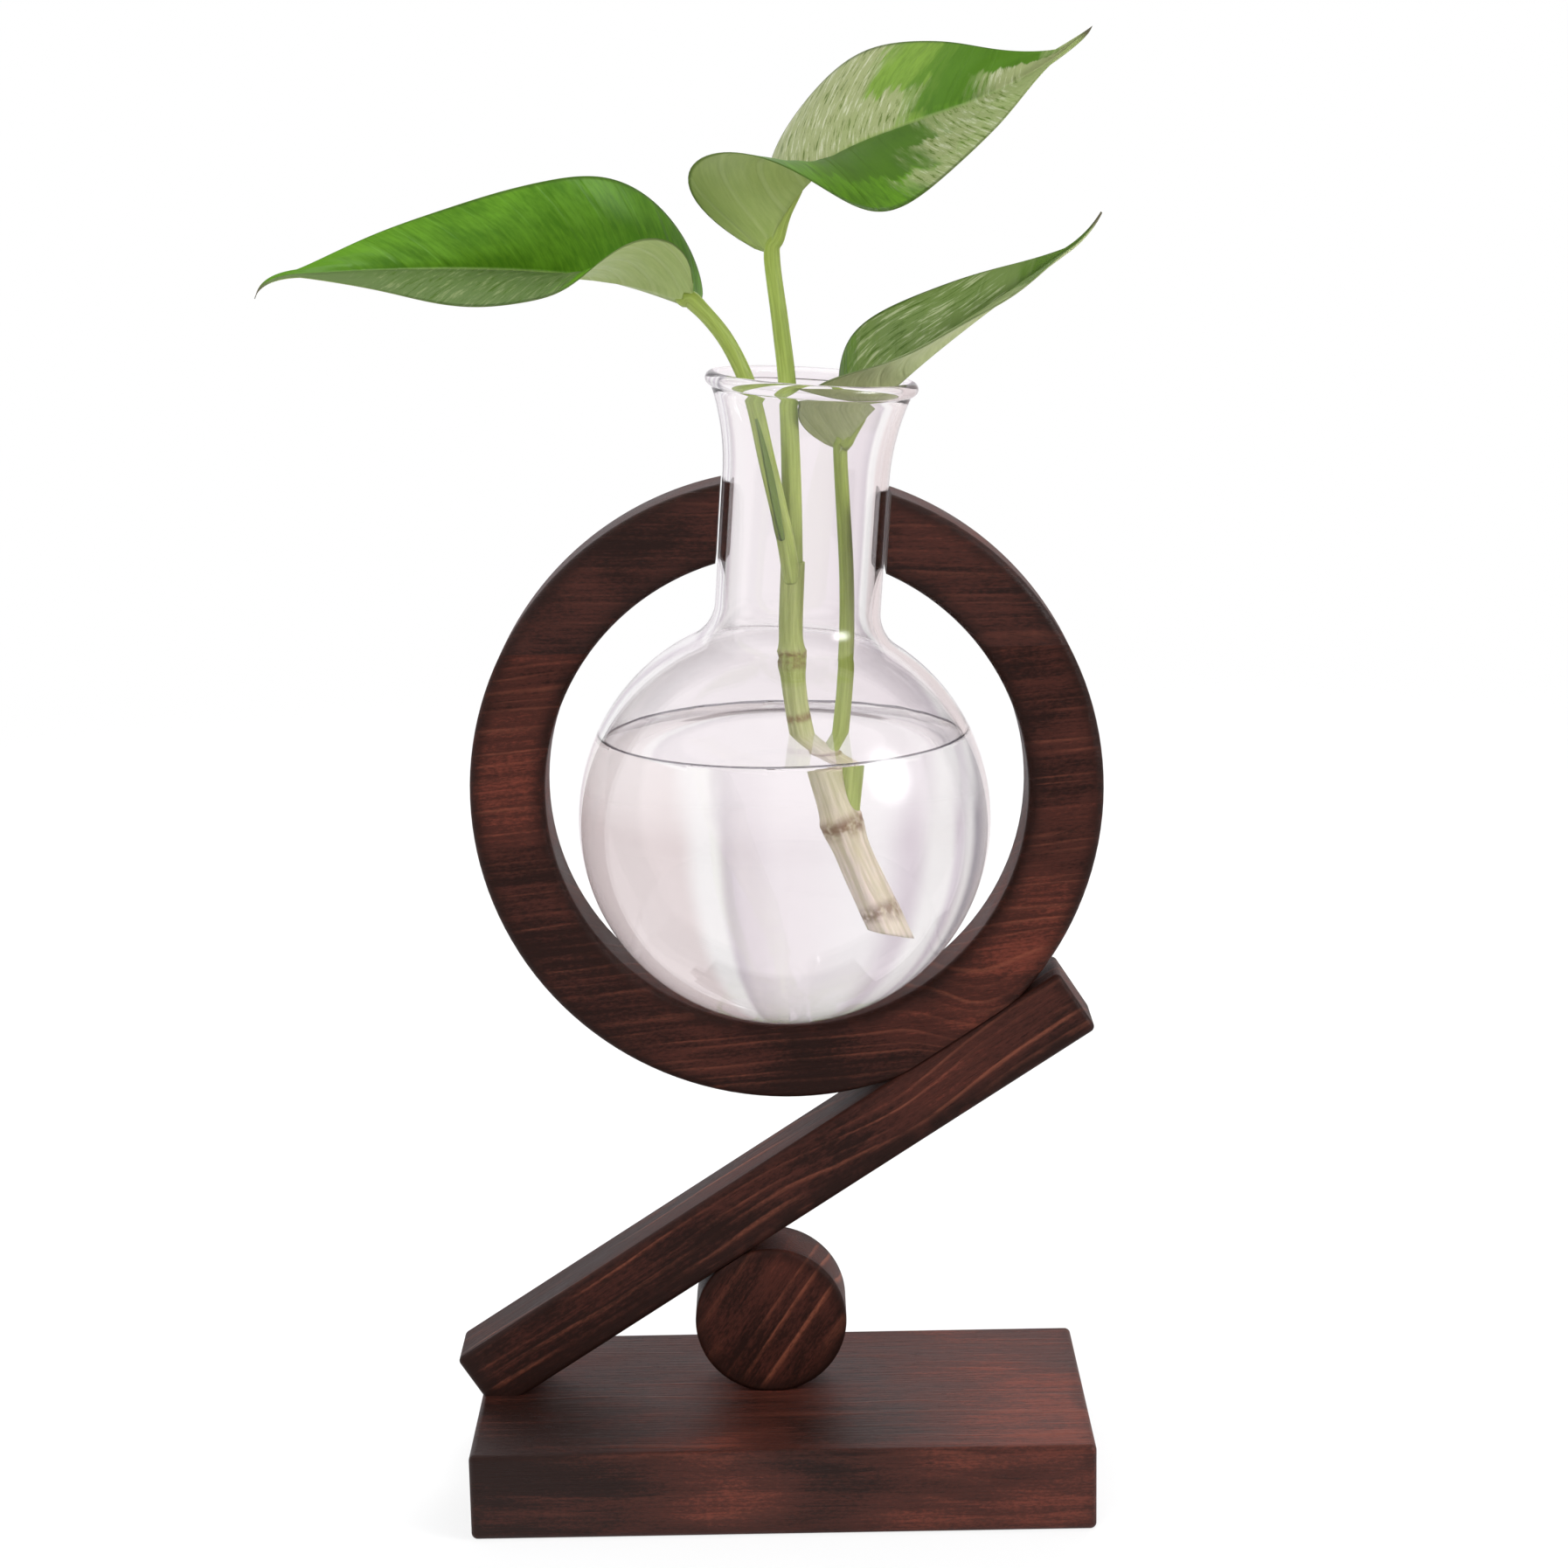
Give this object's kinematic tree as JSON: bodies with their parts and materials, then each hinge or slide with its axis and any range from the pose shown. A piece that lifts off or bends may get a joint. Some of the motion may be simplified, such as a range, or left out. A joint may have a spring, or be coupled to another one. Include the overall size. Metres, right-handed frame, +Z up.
{
  "type": "propagation vase",
  "caption": "Round glass flask holding a pothos cutting in water, seated in an open wooden ring that stands on a sloping plank, a round peg and a flat base.",
  "frame": {"origin": "middle of the base block's underside, on the table", "axes": "+X along the base to the plank's high end, +Y to the back, +Z up; the flask leaves the ring along -Y"},
  "size_m": [0.1551, 0.08, 0.2807],
  "materials": {
    "stained_wood": "satin dark stain",
    "dowel_wood": "bare",
    "clear_glass": "polished",
    "stem": "satin",
    "petiole": "satin",
    "leaf": "satin, variegated"
  },
  "bodies": {
    "stand": {"base_block": "stained_wood", "round_peg": "stained_wood", "inclined_plank": "stained_wood", "ring_lower_arc": "stained_wood", "ring_left_horn": "stained_wood", "ring_right_horn": "stained_wood", "base_dowel": "dowel_wood", "plank_dowel": "dowel_wood", "ring_dowels": "dowel_wood"},
    "flask": {"glass_flask": "clear_glass"},
    "cutting": {"main_stem": "stem", "left_petiole": "petiole", "top_petiole": "petiole", "right_petiole": "petiole", "petiole_sheath": "petiole", "left_leaf": "leaf", "top_leaf": "leaf", "right_leaf": "leaf"}
  },
  "joints": [
    {"name": "flask_slide", "type": "slide", "parent": "stand", "child": "flask", "axis": [0, -1, 0], "range_m": [0, 0.1]},
    {"name": "cutting_lift", "type": "slide", "parent": "flask", "child": "cutting", "axis": [0, 0, 1], "range_m": [0, 0.12]}
  ]
}
